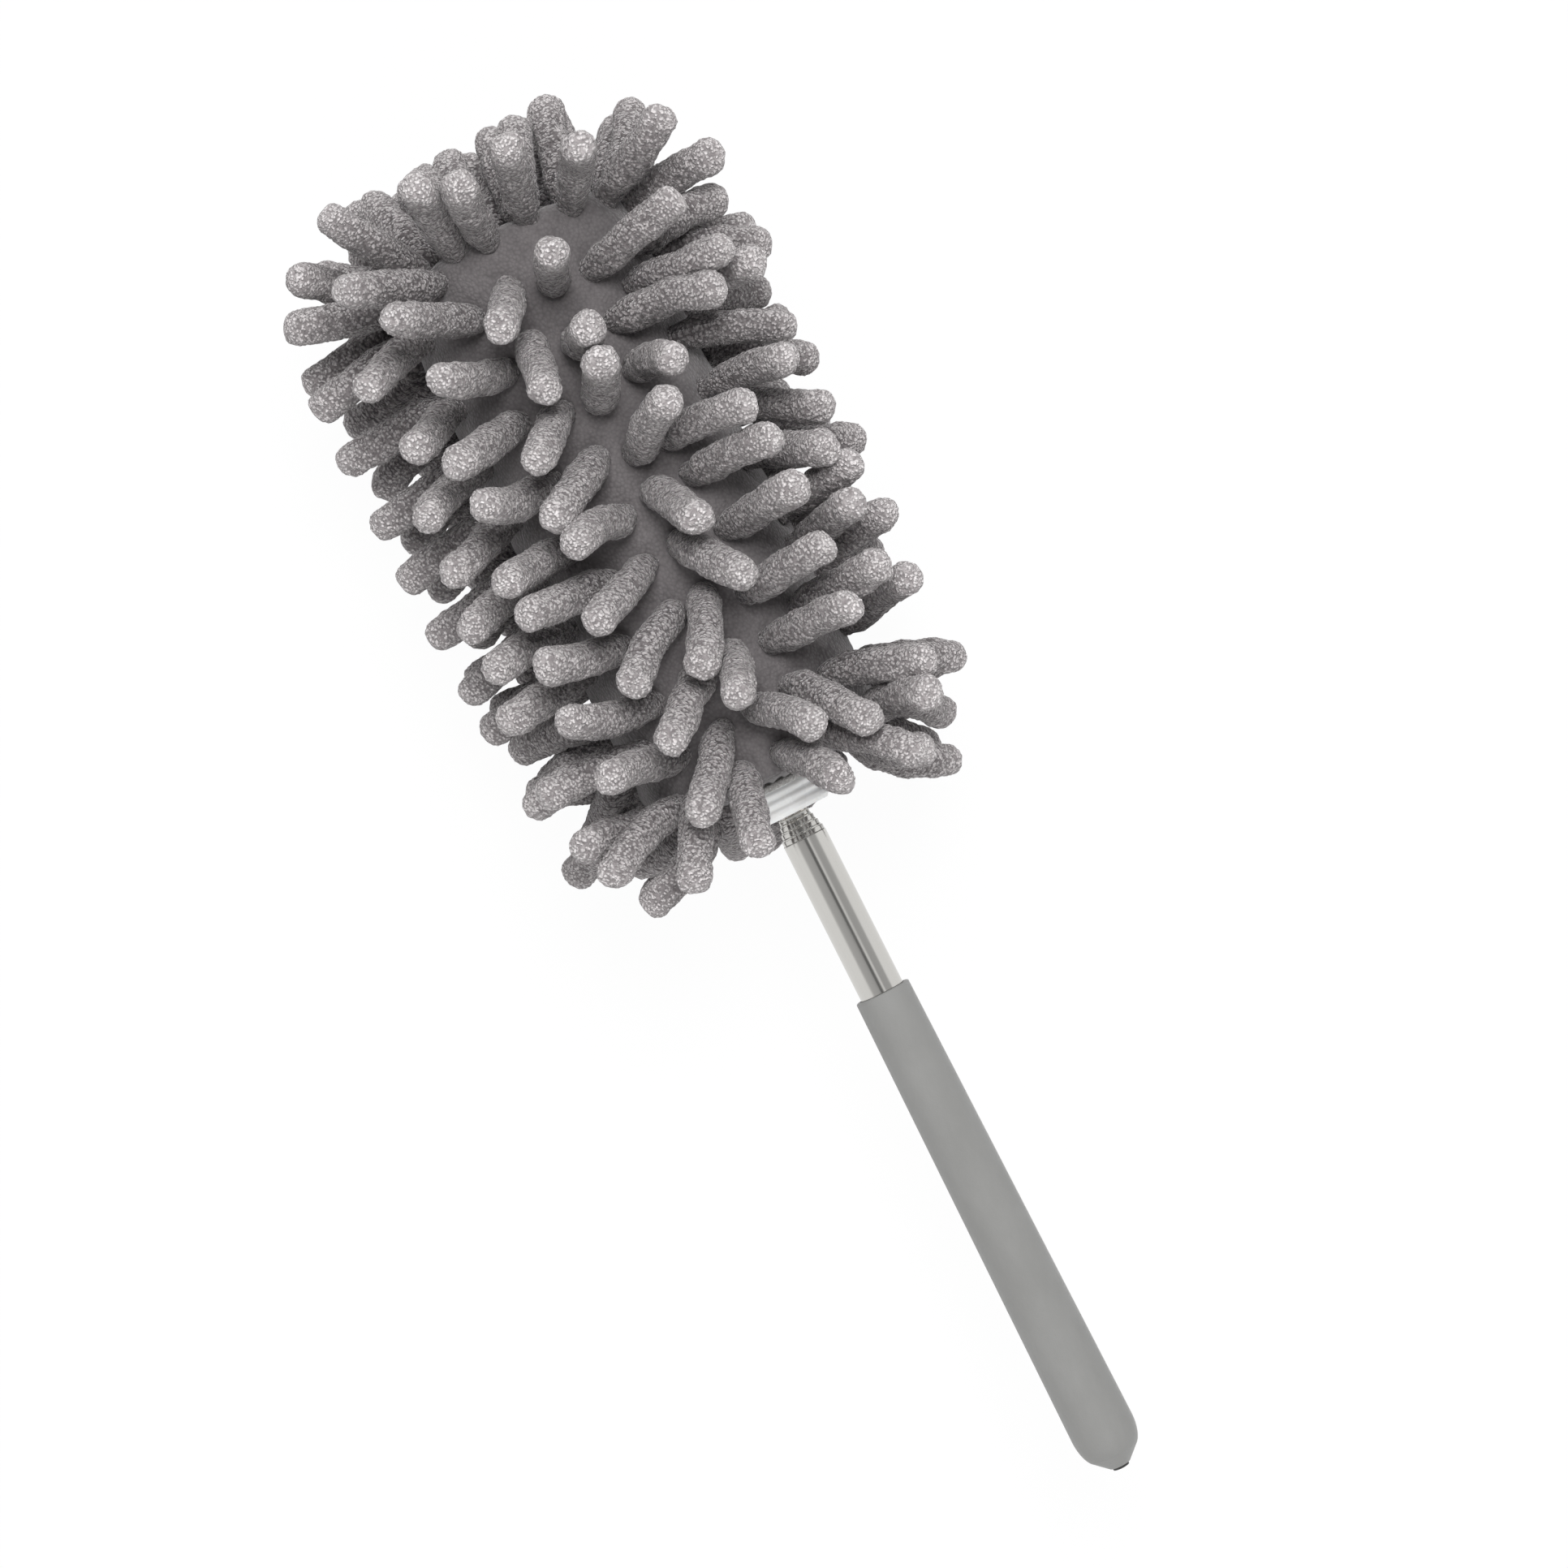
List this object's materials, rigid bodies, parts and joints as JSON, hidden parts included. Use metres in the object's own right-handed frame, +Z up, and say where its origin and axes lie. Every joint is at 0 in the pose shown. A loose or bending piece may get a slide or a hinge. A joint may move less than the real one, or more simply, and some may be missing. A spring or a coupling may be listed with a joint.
{
  "type": "extendable duster",
  "caption": "Hand duster with a chenille-covered cylindrical head on a telescopic steel pole with a soft grip sleeve.",
  "frame": {"origin": "centre of the bounding box at its bottom, on the surface that the duster lies on", "axes": "+X along the pole from the grip towards the head, +Z up, away from the surface it lies on"},
  "size_m": [0.3054, 0.1006, 0.1003],
  "materials": {
    "steel": "polished",
    "bronze": "satin",
    "brass": "satin",
    "screw_steel": "satin",
    "grip_rubber": "satin",
    "dark_plastic": "matte",
    "white_plastic": "satin",
    "foam": "matte",
    "elastic": "matte",
    "chenille": "matte"
  },
  "bodies": {
    "handle": {"grip_sleeve": "grip_rubber", "foot_plug": "dark_plastic", "tube_1": "steel"},
    "tube_2": {"tube_2": "steel", "bush_2_near": "bronze", "bush_2_far": "bronze"},
    "tube_3": {"tube_3": "steel", "bush_3_near": "bronze", "bush_3_far": "bronze"},
    "tube_4": {"tube_4": "steel", "bush_4_near": "bronze", "bush_4_far": "bronze"},
    "tube_5_bushes": {"bush_5_near": "bronze", "bush_5_far": "bronze"},
    "tube_5": {"tube_5": "steel", "threaded_tip": "brass"},
    "head": {"neck_stem": "white_plastic", "thread_insert": "brass", "core_cap": "white_plastic", "cap_screw": "screw_steel", "foam_core": "foam", "hem_elastic": "elastic", "cover_hem": "chenille", "cover_row_1": "chenille", "cover_row_2": "chenille", "cover_row_3": "chenille", "cover_row_4": "chenille", "cover_row_5": "chenille", "cover_row_6": "chenille", "cover_row_7": "chenille", "cover_row_8": "chenille", "cover_row_9": "chenille", "cover_crown": "chenille"}
  },
  "joints": [
    {"name": "extend_tube_2", "type": "slide", "parent": "handle", "child": "tube_2", "axis": [1, 0, 0], "range_m": [0, 0.1235]},
    {"name": "extend_tube_3", "type": "slide", "parent": "tube_2", "child": "tube_3", "axis": [1, 0, 0], "range_m": [0, 0.1169]},
    {"name": "extend_tube_4", "type": "slide", "parent": "tube_3", "child": "tube_4", "axis": [1, 0, 0], "range_m": [0, 0.1103]},
    {"name": "extend_tube_5", "type": "slide", "parent": "tube_4", "child": "tube_5_bushes", "axis": [1, 0, 0], "range_m": [0, 0.1037]},
    {"name": "head_turn", "type": "hinge", "parent": "tube_5_bushes", "child": "tube_5", "pos_m": [0, 0, 0.04957], "axis": [1, 0, 0], "continuous": true},
    {"name": "head_off", "type": "slide", "parent": "tube_5", "child": "head", "axis": [1, 0, 0], "range_m": [0, 0.018]}
  ]
}
